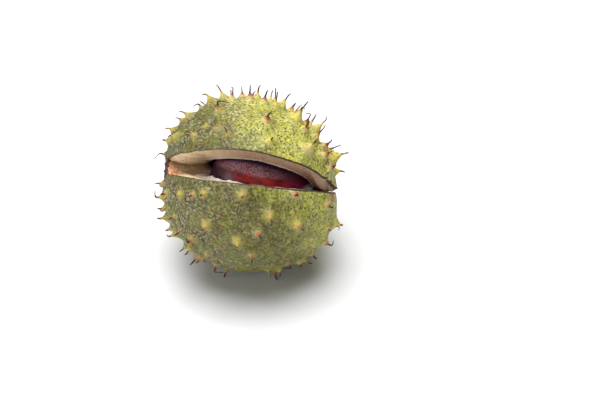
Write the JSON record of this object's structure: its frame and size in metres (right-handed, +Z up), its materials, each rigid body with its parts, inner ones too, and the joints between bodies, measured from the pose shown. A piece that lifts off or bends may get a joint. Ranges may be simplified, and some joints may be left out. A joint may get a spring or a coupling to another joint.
{
  "type": "horse chestnut in split husk",
  "caption": "Round spiny green husk lying on its side, split along one seam, with a glossy brown nut showing in the gap.",
  "frame": {"origin": "bottom centre of the bounding box, on the surface that the husk rests on", "axes": "+Z up, against the surface normal of the resting face; +Y away from the side where the split shows, +X towards the stalk end"},
  "size_m": [0.0612, 0.0634, 0.0609],
  "materials": {
    "husk": "matt leathery skin, mottled yellow-green, with brown-tipped spines and a tan inner face",
    "seed_coat": "glossy dark red-brown shell with a pale scar"
  },
  "bodies": {
    "root": {"upper_valve": "husk", "lower_valve": "husk", "back_valve": "husk", "seed": "seed_coat"}
  },
  "joints": []
}
